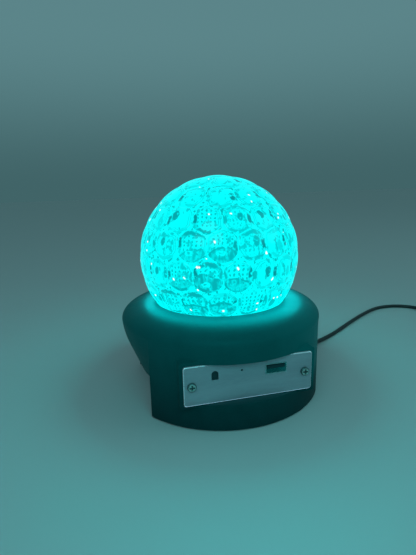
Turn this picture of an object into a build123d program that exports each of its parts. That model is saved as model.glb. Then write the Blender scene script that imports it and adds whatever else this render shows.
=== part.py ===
from build123d import *
import os
from math import atan2, cos, degrees, pi, radians, sin, sqrt, tan

# A disco ball lamp: a clear ball of bubble lenses on a black base with a player panel.
# Millimetres. The origin is on the table under the ball's axis, and the panel faces -Y.
os.makedirs("parts", exist_ok=True)

# Driving sizes
ball_radius = 54.2
web_depth = 0.45
ball_wall = 2.0
lip_inset = 9.035
rim_margin = 14.8
rim_height = 53.0
crown_rise = 10.5
crown_roll = 24.0
foot_stand = 1.0
wall = 2.4
seat_gap = 0.3
fit_gap = 0.05
over = 3.0
square_angle = 90.0
quarter_angles = (45.0, 135.0, 225.0, 315.0)

# The two aprons, front and rear, and the recess on each side between them
apron_half_angle = 55.5
recess_half_angle = square_angle - apron_half_angle
taper_angle = 21.8
taper_bend_radius = 55.0
taper_lead_height = 5.0
taper_lead_out = 0.3
ledge_height = 18.0
plinth_inset = 25.0
apron_corner_round = 1.0

# Control panel
plate_side_room = 17.0
plate_height = 24.4
plate_thickness = 1.5
plate_inset = 5.7
plate_centre_height = 30.0
plate_corner_round = 1.6
plate_bevel = 0.4
plate_margin = 2.2
plate_gap = 0.4
plate_screw_inset = 4.75
plate_screw_boss_radius = 3.2
plate_screw_boss_depth = 7.0
window_width = 4.2
window_height = 5.7
window_side_room = 18.6
window_rise = 2.3
pinhole_shift = 2.55
pinhole_rise = 6.2
pinhole_radius = 0.7
usb_side_room = 23.4
usb_width = 13.5
usb_height = 6.4
usb_rise = 1.5
usb_depth = 14.0
usb_wall = 0.4
usb_proud = 0.3
tongue_thickness = 1.9
tongue_width = 11.1
tongue_drop = 0.9

# Player board behind the panel
board_thickness = 1.6
board_side_gap = 3.9
board_depth = 24.0
board_rib_width = 4.0
board_rib_inset = 5.0
board_screw_inset = 19.4
ir_width = 5.4
ir_depth = 5.0
ir_height = 6.5
status_block = 2.4
chip_width = 9.0
chip_height = 1.6
capacitor_radius = 3.0
capacitor_height = 7.0
usb_block_depth = 3.0

# Ball seat and deck
flange_thickness = 2.0
flange_reach = 2.6
deck_thickness = 2.4
deck_margin = 3.5
deck_boss_gap = 0.9
deck_boss_radius = 2.8
deck_hole_radius = 4.0
led_board_gap = 2.7
led_board_thickness = 1.6
led_board_hole_radius = 6.5
led_place_radius = 14.0
led_count = 6
led_base_radius = 4.0
led_base_height = 1.4
led_dome_radius = 2.6

# Rotor and its geared motor
shaft_radius = 1.5
motor_radius = 12.2
motor_height = 16.0
motor_neck_radius = 3.4
motor_neck_height = 2.0
motor_ear_place = 17.0
motor_ear_radius = 3.4
motor_ear_thickness = 1.2
motor_bore_depth = 10.0
rotor_radius = 30.0
rotor_gap = 7.6
rotor_rise = 7.0
rotor_wall = 1.8
rotor_lens_place = 19.5
rotor_lens_count = 12
rotor_lens_radius = 4.4
rotor_lens_bulge = 1.1
hub_radius = 4.5
hub_flange_radius = 7.0
hub_flange_thickness = 1.6
hub_height = 9.0
hub_spigot_radius = 2.6
hub_land = 1.0

# Bottom cover, feet and their screws
cover_thickness = 2.4
post_inset = 12.0
post_angle = 40.0
post_radius = 3.6
foot_inset = 12.0
foot_angle = 27.0
foot_radius = 5.0
foot_sunk = 1.0
sound_hole_radius = 1.6
sound_hole_pitch = 5.2
sound_rings = 3

# Speaker
speaker_radius = 25.0
speaker_flange = 3.0
speaker_flange_thickness = 1.2
speaker_depth = 12.0
speaker_neck_radius = 15.0
magnet_radius = 14.0
magnet_height = 8.0
speaker_sheet = 0.8
speaker_screw_gap = 2.5
speaker_ear_radius = 3.0

# Rocker switch at the rear
switch_height = 24.0
switch_bezel_length = 21.0
switch_bezel_width = 15.0
switch_bezel_thickness = 1.6
switch_body_length = 19.0
switch_body_width = 13.0
switch_body_depth = 12.0
switch_flat_depth = 2.6
switch_pad_margin = 3.0
rocker_radius = 7.2
rocker_width = 9.4
rocker_pivot_depth = 3.2
rocker_throw_angle = 6.5
rocker_sink = 0.5
rocker_gap = 0.35
rocker_pin_radius = 1.0
rocker_pin_length = 1.2

# Screws: head radius, head height, shank radius, shank length
small_screw = (2.7, 1.6, 1.25, 7.0)
cover_screw = (2.7, 1.6, 1.4, 9.0)
deck_screw = (2.4, 1.4, 1.1, 5.2)
board_screw = (2.0, 1.2, 1.15, 4.2)
motor_screw = (2.0, 1.2, 1.1, 3.2)
speaker_screw = (2.0, 1.2, 0.9, 3.2)
screw_slot_width = 0.8
screw_slot_share = 0.62
screw_slot_depth = 0.9

# Cord, its relief on the right-hand side, its coil and its plug
cord_diameter = 3.4
gland_angle = 15.0
gland_height = 6.5
gland_proud = 6.0
gland_short = 0.2
gland_radius = 5.0
relief_collar_radius = 4.2
relief_collar_length = 3.0
relief_root_radius = 3.2
relief_tip_radius = 2.1
relief_length = 13.0
relief_grooves = 4
relief_groove_pitch = 2.4
relief_groove_width = 0.9
bend_share = 0.45
route_lead = 12.0
route_approach = 12.5
coil_x = 272.0
coil_y = 70.0
coil_mid_radius = 19.0
coil_gap = 0.5
coil_layer_halves = 6
tail_straight = 10.0
tail_drop = 12.0
tail_approach = 11.0
tie_thickness = 0.6
tie_width = 6.0
tie_gap = 0.8
plug_length = 22.0
plug_width = 15.6
plug_height = 8.4
plug_round = 2.4
plug_relief_length = 9.0
plug_relief_radius = 2.9
plug_shell_length = 14.0
plug_shell_width = 12.0
plug_shell_height = 4.5
plug_shell_wall = 0.4

# Rows of lenses on the ball: their latitudes, how many, and where one of them stands, counted from the front
lens_radius = 8.3
lens_skirt = 0.25
lens_floor_share = 0.5
lens_latitude_angles = (-21.8, -3.6, 15.8, 33.0, 51.0, 69.5, 90.0)
lens_counts = (18, 19, 18, 16, 12, 6, 1)
lens_start_angles = (-13.4, -22.5, -13.2, -1.2, -13.0, 2.0, 0.0)

# Places worked out from these sizes
rim_radius = ball_radius + rim_margin
crown_height = rim_height + crown_rise
crown_radius = rim_radius - crown_roll
web_radius = ball_radius - web_depth
ball_bore_radius = web_radius - ball_wall
lip_radius = ball_radius - lip_inset
ball_centre_height = crown_height + sqrt(web_radius**2 - (lip_radius - seat_gap) ** 2)
lip_underside = crown_height - wall
flange_radius = lip_radius + flange_reach
flange_top = lip_underside - seat_gap
deck_top = flange_top - flange_thickness
deck_underside = deck_top - deck_thickness
bore_foot_radius = sqrt(ball_bore_radius**2 - (ball_centre_height - deck_top) ** 2)
deck_boss_place = flange_radius + deck_boss_gap + deck_boss_radius
deck_radius = deck_boss_place + deck_margin
led_board_radius = bore_foot_radius - led_board_gap
led_board_top = deck_top + led_board_thickness
rotor_height = led_board_top + led_base_height + led_dome_radius + rotor_gap
cover_top = foot_stand + cover_thickness
plate_face = rim_radius - plate_inset
plate_back = plate_face - plate_thickness
plate_width = 2 * (rim_radius * sin(radians(apron_half_angle)) - plate_side_room)
plate_screw_spread = plate_width - 2 * plate_screw_inset
window_sill = plate_centre_height + window_rise
pinhole_height = plate_centre_height + pinhole_rise
usb_sill = plate_centre_height + usb_rise
window_x = window_side_room - plate_width / 2
usb_x = plate_width / 2 - usb_side_room
pinhole_x = (window_x + usb_x) / 2 - pinhole_shift
board_top = usb_sill - fit_gap
board_underside = board_top - board_thickness
board_front = plate_back - usb_wall
board_middle = board_front - board_depth / 2
board_width = plate_screw_spread - 2 * (plate_screw_boss_radius + board_side_gap)
board_rib_spread = board_width - 2 * board_rib_inset
board_screw_place = board_front - board_screw_inset
apron_inside = rim_radius - wall
plinth_radius = rim_radius - plinth_inset
gland_face = plinth_radius + gland_proud
gland_depth = gland_proud + wall - gland_short
post_place = rim_radius - post_inset
foot_place = rim_radius - foot_inset
speaker_screw_place = speaker_radius + speaker_screw_gap
switch_seat = rim_radius - switch_flat_depth
motor_underside = deck_underside - motor_height


def round_place(radius, angle):
    """A place in plan, with the angle counted from the front towards +X."""
    return (radius * sin(radians(angle)), -radius * cos(radians(angle)))


def base_form(inset, floor):
    """The base's outer form, drawn in by inset and cut off at the height floor."""
    recesses = side_recesses(inset, floor - over)
    with BuildPart() as form:
        with BuildSketch(Plane.XZ):
            with BuildLine():
                Line((0, floor), (rim_radius - inset, floor))
                Line((rim_radius - inset, floor), (rim_radius - inset, rim_height))
                EllipticalCenterArc(
                    (crown_radius, rim_height),
                    rim_radius - inset - crown_radius,
                    crown_height - inset - rim_height,
                    start_angle=0,
                    arc_size=square_angle,
                )
                Line((crown_radius, crown_height - inset), (0, crown_height - inset))
                Line((0, crown_height - inset), (0, floor))
            make_face()
        revolve(axis=Axis.Z)
        add(recesses, mode=Mode.SUBTRACT)
    return form.part


def side_recesses(inset, floor):
    """What is missing from the round form on both sides, between the aprons."""
    reach = rim_radius + over
    apex = inset / sin(radians(recess_half_angle))
    half_width = (reach + apex) * tan(radians(recess_half_angle))
    bend_height = rim_height + taper_lead_height
    bend_x = rim_radius + taper_lead_out - taper_bend_radius
    radius = taper_bend_radius - inset
    slope = radians(taper_angle)
    low_x = bend_x + radius * cos(slope)
    low_z = bend_height - radius * sin(slope)
    ledge_z = ledge_height + inset
    ledge_x = low_x - (low_z - ledge_z) * tan(slope)
    plinth_x = plinth_radius - inset
    middle_x = bend_x + radius * cos(slope / 2)
    middle_z = bend_height - radius * sin(slope / 2)
    with BuildPart() as core:
        with BuildSketch(Plane.XZ):
            with BuildLine():
                Polyline(
                    (0, floor), (plinth_x, floor), (plinth_x, ledge_z), (ledge_x, ledge_z), (low_x, low_z)
                )
                ThreePointArc((low_x, low_z), (middle_x, middle_z), (bend_x + radius, bend_height))
                Line((bend_x + radius, bend_height), (0, bend_height))
                Line((0, bend_height), (0, floor))
            make_face()
        revolve(axis=Axis.Z)
    with BuildPart() as recess:
        with BuildSketch(Plane.XY.offset(floor)):
            with BuildLine():
                Polyline((-apex, 0), (reach, -half_width), (reach, half_width), close=True)
            make_face()
            mirror(about=Plane.YZ)
        extrude(amount=bend_height - floor)
        add(core.part, mode=Mode.SUBTRACT)
    return recess.part


def screw(sizes, cross=True):
    """A pan head screw along Z, with its head above the height 0."""
    head_radius, head_height, shank_radius, shank_length = sizes
    slot_length = 2 * head_radius * screw_slot_share
    with BuildPart() as piece:
        with BuildSketch():
            Circle(head_radius)
        extrude(amount=head_height)
        fillet(piece.edges().group_by(Axis.Z)[-1], radius=head_height / 2)
        with BuildSketch():
            Circle(shank_radius)
        extrude(amount=-shank_length)
        if cross:
            with BuildSketch(Plane.XY.offset(head_height)):
                Rectangle(slot_length, screw_slot_width)
                Rectangle(screw_slot_width, slot_length)
            extrude(amount=-screw_slot_depth, mode=Mode.SUBTRACT)
    return piece.part


def write(piece, name):
    """Gives a finished piece its name and writes it."""
    piece.part.label = name
    export_step(piece.part, f"parts/{name}.step")


def lens_solid(carrier_radius, radius, bulge, skirt, floor):
    """A convex lens that stands on a sphere of carrier_radius, along Z from that sphere's centre."""
    height = bulge + carrier_radius - sqrt(carrier_radius**2 - radius**2)
    curve_radius = (radius**2 + height**2) / (2 * height)
    top = carrier_radius + bulge
    centre = top - curve_radius
    edge = radius + skirt
    half = atan2(edge, sqrt(curve_radius**2 - edge**2)) / 2
    edge_height = centre + curve_radius * cos(2 * half)
    with BuildPart() as lens:
        with BuildSketch(Plane.XZ):
            with BuildLine():
                Line((0, floor), (edge, floor))
                Line((edge, floor), (edge, edge_height))
                ThreePointArc(
                    (edge, edge_height),
                    (curve_radius * sin(half), centre + curve_radius * cos(half)),
                    (0, top),
                )
                Line((0, top), (0, floor))
            make_face()
        revolve(axis=Axis.Z)
    return lens.part


def aimed(centre_height, latitude, azimuth):
    """A plane at a height on the ball's axis that faces a latitude and an azimuth from the front."""
    flat = cos(radians(latitude))
    x, y = round_place(flat, azimuth)
    return Plane(origin=(0, 0, centre_height), z_dir=(x, y, sin(radians(latitude))))


def flipped(places, height):
    """Places for screws that are driven upwards from below."""
    return [Location((x, y, height), (180, 0, 0)) for x, y in places]


# Places round the axis, and the planes that pieces are built on
post_angles = (post_angle, -post_angle, 180 - post_angle, 180 + post_angle)
foot_angles = (foot_angle, -foot_angle, 180 - foot_angle, 180 + foot_angle)
post_places = [round_place(post_place, angle) for angle in post_angles]
foot_places = [round_place(foot_place, angle) for angle in foot_angles]
deck_boss_places = [round_place(deck_boss_place, angle) for angle in quarter_angles]
motor_screw_places = [(-motor_ear_place, 0), (motor_ear_place, 0)]
speaker_screw_places = [round_place(speaker_screw_place, angle) for angle in quarter_angles]
plate_screw_places = [(-plate_screw_spread / 2, 0), (plate_screw_spread / 2, 0)]
board_screw_places = [(-board_rib_spread / 2, -board_screw_place), (board_rib_spread / 2, -board_screw_place)]
pad_width = plate_width + 2 * plate_margin
pad_height = plate_height + 2 * plate_margin
pad_depth = plate_back - sqrt(apron_inside**2 - (pad_width / 2) ** 2) + wall
pad_shelf = plate_centre_height - pad_height / 2 + wall
rib_length = board_depth - wall - board_rib_width / 2
rib_middle = plate_back - wall - rib_length / 2
panel_plane = Plane(origin=(0, -plate_back, plate_centre_height), x_dir=(1, 0, 0), z_dir=(0, -1, 0))
gland_out = (cos(radians(gland_angle)), sin(radians(gland_angle)))
gland_plane = Plane(
    origin=(gland_face * gland_out[0], gland_face * gland_out[1], gland_height),
    x_dir=(-gland_out[1], gland_out[0], 0),
    z_dir=(gland_out[0], gland_out[1], 0),
)
switch_plane = Plane(origin=(0, switch_seat, switch_height), x_dir=(-1, 0, 0), z_dir=(0, 1, 0))

# Base housing
outer_form = base_form(0, foot_stand)
inner_form = base_form(wall, foot_stand - over)
middle_form = base_form(wall / 2, foot_stand - over)

with BuildPart() as inner_posts:
    with BuildSketch(Plane.XY.offset(cover_top)):
        with Locations(*post_places):
            Circle(post_radius)
    extrude(amount=crown_height - cover_top)
    with BuildSketch(Plane.XY.offset(deck_top)):
        with Locations(*deck_boss_places):
            Circle(deck_boss_radius)
    extrude(amount=crown_height - deck_top)
    add(middle_form, mode=Mode.INTERSECT)

with BuildPart() as panel_block:
    with BuildSketch(panel_plane):
        Rectangle(pad_width, pad_height)
    extrude(amount=rim_radius - plate_back + over)
    add(outer_form, mode=Mode.INTERSECT)

with BuildPart() as base_housing:
    add(outer_form)
    upright = base_housing.edges().filter_by(Axis.Z)
    corners = [edge for edge in upright if abs(edge.center().Y) > over and abs(edge.center().X) > over]
    corners = [edge for edge in corners if Vector(edge.center().X, edge.center().Y).length > apron_inside]
    fillet(corners, radius=apron_corner_round)
    add(inner_form, mode=Mode.SUBTRACT)
    add(panel_block.part)
    # The pad that carries the panel, proud of the round wall at both its ends
    with BuildSketch(panel_plane):
        RectangleRounded(pad_width, pad_height, plate_corner_round)
    extrude(amount=-pad_depth)
    with BuildSketch(panel_plane.offset(-wall)):
        Rectangle(pad_width - 2 * wall, pad_height - 2 * wall)
    extrude(amount=-pad_depth, mode=Mode.SUBTRACT)
    # The hollow in the round wall in front of the panel
    with BuildSketch(panel_plane):
        Rectangle(pad_width + 2 * over, plate_height + 2 * plate_gap)
    extrude(amount=rim_radius, mode=Mode.SUBTRACT)
    # Bosses for the panel's screws, the window for the player board and its ribs
    with BuildSketch(panel_plane.offset(-wall / 2)):
        with Locations(*plate_screw_places):
            Circle(plate_screw_boss_radius)
    extrude(amount=-plate_screw_boss_depth)
    with BuildSketch(panel_plane):
        Rectangle(board_width + 2 * plate_gap, plate_height - 2 * wall)
    extrude(amount=-wall, mode=Mode.SUBTRACT)
    with BuildSketch(panel_plane):
        with Locations(*plate_screw_places):
            Circle(small_screw[2] + fit_gap)
    extrude(amount=-small_screw[3], mode=Mode.SUBTRACT)
    with BuildSketch(Plane.XY.offset(board_underside)):
        with Locations((-board_rib_spread / 2, -rib_middle), (board_rib_spread / 2, -rib_middle)):
            Rectangle(board_rib_width, rib_length)
    extrude(amount=pad_shelf - board_underside - wall / 2)
    with BuildSketch(Plane.XY.offset(board_underside)):
        with Locations(*board_screw_places):
            Circle(board_screw[2] + fit_gap)
    extrude(amount=-board_screw[3], mode=Mode.SUBTRACT)
    add(inner_posts.part)
    # The round opening for the ball
    with BuildSketch(Plane.XY.offset(lip_underside - over)):
        Circle(lip_radius)
    extrude(amount=2 * over + wall, mode=Mode.SUBTRACT)
    # Screw holes from below
    with BuildSketch(Plane.XY.offset(cover_top)):
        with Locations(*post_places):
            Circle(cover_screw[2] + fit_gap)
    extrude(amount=cover_screw[3], mode=Mode.SUBTRACT)
    with BuildSketch(Plane.XY.offset(deck_top)):
        with Locations(*deck_boss_places):
            Circle(deck_screw[2] + fit_gap)
    extrude(amount=deck_screw[3] - deck_thickness + fit_gap, mode=Mode.SUBTRACT)
    # The flat spot and the opening for the rocker switch
    with BuildSketch(switch_plane):
        Rectangle(
            switch_bezel_length + 2 * switch_pad_margin, switch_bezel_width + 2 * switch_pad_margin
        )
    extrude(amount=-wall)
    with BuildSketch(switch_plane):
        RectangleRounded(
            switch_bezel_length + 2 * plate_gap, switch_bezel_width + 2 * plate_gap, plate_corner_round
        )
    extrude(amount=over, mode=Mode.SUBTRACT)
    with BuildSketch(switch_plane):
        Rectangle(switch_body_length + 2 * fit_gap, switch_body_width + 2 * fit_gap)
    extrude(amount=-over - wall, mode=Mode.SUBTRACT)
    # The cord's gland boss in the right-hand recess
    with BuildSketch(gland_plane):
        Circle(gland_radius)
    extrude(amount=-gland_depth)
    with BuildSketch(gland_plane):
        Circle(relief_root_radius + fit_gap)
    extrude(amount=-gland_depth - over, mode=Mode.SUBTRACT)
write(base_housing, "base_housing")

# Ball of bubble lenses, moulded in one piece with its seat flange
neck_radius = sqrt(web_radius**2 - (ball_centre_height - flange_top) ** 2)
ball_lens = lens_solid(
    web_radius, lens_radius, web_depth, lens_skirt, ball_bore_radius + lens_floor_share * ball_wall
)
lens_planes = [
    aimed(ball_centre_height, latitude, azimuth + 360 * step / count)
    for latitude, count, azimuth in zip(lens_latitude_angles, lens_counts, lens_start_angles)
    for step in range(count)
]
with BuildPart() as ball_shell:
    with BuildSketch(Plane.XZ):
        with BuildLine():
            Line((bore_foot_radius, deck_top), (flange_radius, deck_top))
            Line((flange_radius, deck_top), (flange_radius, flange_top))
            Line((flange_radius, flange_top), (neck_radius, flange_top))
            ThreePointArc(
                (neck_radius, flange_top),
                (web_radius, ball_centre_height),
                (0, ball_centre_height + web_radius),
            )
            Line((0, ball_centre_height + web_radius), (0, ball_centre_height + ball_bore_radius))
            ThreePointArc(
                (0, ball_centre_height + ball_bore_radius),
                (ball_bore_radius, ball_centre_height),
                (bore_foot_radius, deck_top),
            )
        make_face()
    revolve(axis=Axis.Z)
    add([plane.location * ball_lens for plane in lens_planes])
write(ball_shell, "ball_shell")

# Deck that clamps the ball's flange and carries the lights and the motor
with BuildPart() as led_deck:
    with BuildSketch(Plane.XY.offset(deck_underside)):
        Circle(deck_radius)
        Circle(deck_hole_radius, mode=Mode.SUBTRACT)
        with Locations(*post_places):
            Circle(post_radius + seat_gap, mode=Mode.SUBTRACT)
        with Locations(*deck_boss_places):
            Circle(deck_screw[2] + fit_gap, mode=Mode.SUBTRACT)
        with Locations(*motor_screw_places):
            Circle(motor_screw[2] + fit_gap, mode=Mode.SUBTRACT)
    extrude(amount=deck_thickness)
write(led_deck, "led_deck")

with BuildPart() as deck_screws:
    with Locations(*flipped(deck_boss_places, deck_underside)):
        add(screw(deck_screw))
write(deck_screws, "deck_screws")

with BuildPart() as led_board:
    with BuildSketch(Plane.XY.offset(deck_top)):
        Circle(led_board_radius)
        Circle(led_board_hole_radius, mode=Mode.SUBTRACT)
    extrude(amount=led_board_thickness)
write(led_board, "led_board")

with BuildPart() as led_emitters:
    with BuildSketch(Plane.XY.offset(led_board_top)):
        with PolarLocations(led_place_radius, led_count):
            Circle(led_base_radius)
    extrude(amount=led_base_height)
    with Locations((0, 0, led_board_top + led_base_height)):
        with PolarLocations(led_place_radius, led_count):
            Sphere(led_dome_radius, arc_size1=0)
write(led_emitters, "led_emitters")

# Geared motor under the deck
with BuildPart() as motor_body:
    with BuildSketch(Plane.XY.offset(motor_underside)):
        Circle(motor_radius)
    extrude(amount=motor_height)
    chamfer(motor_body.edges().sort_by(Axis.Z)[0], length=motor_ear_thickness)
    with BuildSketch(Plane.XY.offset(deck_underside)):
        SlotCenterToCenter(2 * motor_ear_place, 2 * motor_ear_radius)
    extrude(amount=-motor_ear_thickness)
    with BuildSketch(Plane.XY.offset(deck_underside)):
        Circle(motor_neck_radius)
    extrude(amount=motor_neck_height)
    with BuildSketch(Plane.XY.offset(deck_underside + motor_neck_height)):
        Circle(shaft_radius + fit_gap)
    extrude(amount=-motor_bore_depth, mode=Mode.SUBTRACT)
    with BuildSketch(Plane.XY.offset(deck_underside)):
        with Locations(*motor_screw_places):
            Circle(motor_screw[2] + fit_gap)
    extrude(amount=-motor_ear_thickness, mode=Mode.SUBTRACT)
write(motor_body, "motor_body")

with BuildPart() as motor_screws:
    with Locations(*flipped(motor_screw_places, deck_underside - motor_ear_thickness)):
        add(screw(motor_screw))
write(motor_screws, "motor_screws")

# Rotor: a lens dish on a hub that the motor's shaft turns
dish_curve_radius = (rotor_radius**2 + rotor_rise**2) / (2 * rotor_rise)
dish_top = rotor_height + rotor_rise
dish_centre = dish_top - dish_curve_radius
dish_seat = dish_top - rotor_wall - hub_land
hub_foot = dish_seat - hub_height
shaft_foot = deck_underside + motor_neck_height - motor_bore_depth + seat_gap

with BuildPart() as motor_shaft:
    with BuildSketch(Plane.XY.offset(shaft_foot)):
        Circle(shaft_radius)
    extrude(amount=dish_seat - hub_land - shaft_foot)
write(motor_shaft, "motor_shaft")

with BuildPart() as rotor_hub:
    with BuildSketch(Plane.XY.offset(hub_foot)):
        Circle(hub_radius)
    extrude(amount=hub_height)
    with BuildSketch(Plane.XY.offset(dish_seat)):
        Circle(hub_flange_radius)
    extrude(amount=-hub_flange_thickness)
    with BuildSketch(Plane.XY.offset(dish_seat)):
        Circle(hub_spigot_radius)
    extrude(amount=rotor_wall)
    with BuildSketch(Plane.XY.offset(hub_foot)):
        Circle(shaft_radius + fit_gap)
    extrude(amount=hub_height - hub_land, mode=Mode.SUBTRACT)
write(rotor_hub, "rotor_hub")

dish_lens = lens_solid(
    dish_curve_radius, rotor_lens_radius, rotor_lens_bulge, lens_skirt, dish_curve_radius - rotor_wall / 2
)
dish_tilt = degrees(atan2(rotor_lens_place, sqrt(dish_curve_radius**2 - rotor_lens_place**2)))
dish_planes = [
    aimed(dish_centre, square_angle - dish_tilt, 360 * step / rotor_lens_count)
    for step in range(rotor_lens_count)
]
with BuildPart() as rotor_dish:
    with BuildSketch(Plane.XZ):
        with BuildLine():
            inner_radius = dish_curve_radius - rotor_wall
            edge_angle = atan2(rotor_radius, dish_curve_radius - rotor_rise)
            Line((0, dish_centre + inner_radius), (0, dish_top))
            ThreePointArc(
                (0, dish_top),
                (
                    dish_curve_radius * sin(edge_angle / 2),
                    dish_centre + dish_curve_radius * cos(edge_angle / 2),
                ),
                (rotor_radius, rotor_height),
            )
            Line(
                (rotor_radius, rotor_height),
                (inner_radius * sin(edge_angle), dish_centre + inner_radius * cos(edge_angle)),
            )
            ThreePointArc(
                (inner_radius * sin(edge_angle), dish_centre + inner_radius * cos(edge_angle)),
                (inner_radius * sin(edge_angle / 2), dish_centre + inner_radius * cos(edge_angle / 2)),
                (0, dish_centre + inner_radius),
            )
        make_face()
    revolve(axis=Axis.Z)
    add([plane.location * dish_lens for plane in dish_planes])
    with BuildSketch(Plane.XY.offset(dish_seat)):
        Circle(hub_flange_radius)
    extrude(amount=rotor_wall)
    with BuildSketch(Plane.XY.offset(dish_seat)):
        Circle(hub_spigot_radius + fit_gap)
    extrude(amount=rotor_wall + over, mode=Mode.SUBTRACT)
write(rotor_dish, "rotor_dish")

# Control panel, left bare but for its windows
with BuildPart() as control_plate:
    with BuildSketch(panel_plane):
        RectangleRounded(plate_width, plate_height, plate_corner_round)
    extrude(amount=plate_thickness)
    chamfer(control_plate.faces().sort_by(Axis.Y)[0].edges(), length=plate_bevel)
    with BuildSketch(panel_plane):
        with Locations(*plate_screw_places):
            Circle(small_screw[2] + fit_gap)
        with Locations((usb_x, usb_sill + usb_height / 2 - plate_centre_height)):
            Rectangle(usb_width + 2 * fit_gap, usb_height + 2 * fit_gap)
        with Locations((pinhole_x, pinhole_height - plate_centre_height)):
            Circle(pinhole_radius)
        with Locations((window_x, window_sill + window_height - window_width / 2 - plate_centre_height)):
            Circle(window_width / 2)
        window_foot_height = window_height - window_width / 2
        with Locations((window_x, window_sill + window_foot_height / 2 - plate_centre_height)):
            Rectangle(window_width, window_foot_height)
    extrude(amount=plate_thickness, mode=Mode.SUBTRACT)
write(control_plate, "control_plate")

with BuildPart() as plate_screws:
    with Locations(panel_plane.offset(plate_thickness)):
        with Locations(*plate_screw_places):
            add(screw(small_screw))
write(plate_screws, "plate_screws")

# Player board behind the panel, with what stands on it
with BuildPart() as player_board:
    with BuildSketch(Plane.XY.offset(board_underside)):
        with Locations((0, -board_middle)):
            Rectangle(board_width, board_depth)
        with Locations(*board_screw_places):
            Circle(board_screw[2] + fit_gap, mode=Mode.SUBTRACT)
    extrude(amount=board_thickness)
write(player_board, "player_board")

with BuildPart() as board_screws:
    with Locations(*[(x, y, board_top) for x, y in board_screw_places]):
        add(screw(board_screw))
write(board_screws, "board_screws")

usb_plane = Plane(
    origin=(usb_x, -plate_face - usb_proud, usb_sill + usb_height / 2), x_dir=(1, 0, 0), z_dir=(0, -1, 0)
)
with BuildPart() as usb_socket_shell:
    with BuildSketch(usb_plane):
        Rectangle(usb_width, usb_height)
        Rectangle(usb_width - 2 * usb_wall, usb_height - 2 * usb_wall, mode=Mode.SUBTRACT)
    extrude(amount=-usb_depth)
write(usb_socket_shell, "usb_socket_shell")

with BuildPart() as usb_socket_tongue:
    with BuildSketch(usb_plane.offset(-usb_depth)):
        Rectangle(usb_width - 2 * usb_wall - 2 * fit_gap, usb_height - 2 * usb_wall - 2 * fit_gap)
    extrude(amount=usb_block_depth)
    with BuildSketch(usb_plane.offset(-usb_depth)):
        with Locations((0, usb_height / 2 - usb_wall - tongue_drop - tongue_thickness / 2)):
            Rectangle(tongue_width, tongue_thickness)
    extrude(amount=usb_depth - usb_proud)
write(usb_socket_tongue, "usb_socket_tongue")

lens_room = window_width - 2 * fit_gap
with BuildPart() as ir_receiver:
    with BuildSketch(Plane.XY.offset(board_top)):
        with Locations((window_x, -board_front + ir_depth / 2)):
            Rectangle(ir_width, ir_depth)
    extrude(amount=ir_height)
    with BuildSketch(panel_plane.offset(-usb_wall)):
        with Locations((window_x, window_sill + window_height - window_width / 2 - plate_centre_height)):
            Circle(lens_room / 2)
        with Locations((window_x, window_sill + fit_gap + window_foot_height / 2 - plate_centre_height)):
            Rectangle(lens_room, window_foot_height)
    extrude(amount=plate_thickness)
write(ir_receiver, "ir_receiver")

with BuildPart() as status_led:
    with BuildSketch(Plane.XY.offset(board_top)):
        with Locations((pinhole_x, -board_front + status_block / 2)):
            Rectangle(status_block, status_block)
    extrude(amount=pinhole_height - board_top + status_block / 2)
    with BuildSketch(panel_plane.offset(-usb_wall)):
        with Locations((pinhole_x, pinhole_height - plate_centre_height)):
            Circle(pinhole_radius - fit_gap)
    extrude(amount=plate_thickness)
write(status_led, "status_led")

capacitor_y = -board_middle + board_depth / 4
capacitor_places = [(-chip_width, capacitor_y), (chip_width, capacitor_y)]
with BuildPart() as board_parts:
    with BuildSketch(Plane.XY.offset(board_top)):
        with Locations((0, -board_middle + board_depth / 6)):
            Rectangle(chip_width, chip_width)
    extrude(amount=chip_height)
    with BuildSketch(Plane.XY.offset(board_top)):
        with Locations(*capacitor_places):
            Circle(capacitor_radius)
    extrude(amount=capacitor_height)
write(board_parts, "board_parts")

# Bottom cover with its sound holes, feet and screws
cover_outline = base_form(wall + seat_gap, foot_stand).faces().sort_by(Axis.Z)[0]
with BuildPart() as bottom_cover:
    extrude(cover_outline, amount=-cover_thickness)
    with BuildSketch(Plane.XY.offset(foot_stand)):
        with Locations(*post_places):
            Circle(cover_screw[0] + fit_gap)
    extrude(amount=cover_screw[1], mode=Mode.SUBTRACT)
    with BuildSketch(Plane.XY.offset(foot_stand)):
        with Locations(*foot_places):
            Circle(foot_radius + fit_gap)
    extrude(amount=foot_sunk, mode=Mode.SUBTRACT)
    with BuildSketch(Plane.XY.offset(foot_stand)):
        with Locations(*post_places):
            Circle(cover_screw[2] + fit_gap)
        with Locations(*speaker_screw_places):
            Circle(speaker_screw[2] + fit_gap)
        Circle(sound_hole_radius)
        for ring in range(1, sound_rings + 1):
            with PolarLocations(ring * sound_hole_pitch, 6 * ring):
                Circle(sound_hole_radius)
    extrude(amount=cover_thickness, mode=Mode.SUBTRACT)
write(bottom_cover, "bottom_cover")

with BuildPart() as cover_screws:
    with Locations(*flipped(post_places, foot_stand + cover_screw[1])):
        add(screw(cover_screw))
write(cover_screws, "cover_screws")

with BuildPart() as rubber_feet:
    with BuildSketch():
        with Locations(*foot_places):
            Circle(foot_radius)
    extrude(amount=foot_stand + foot_sunk)
write(rubber_feet, "rubber_feet")

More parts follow.
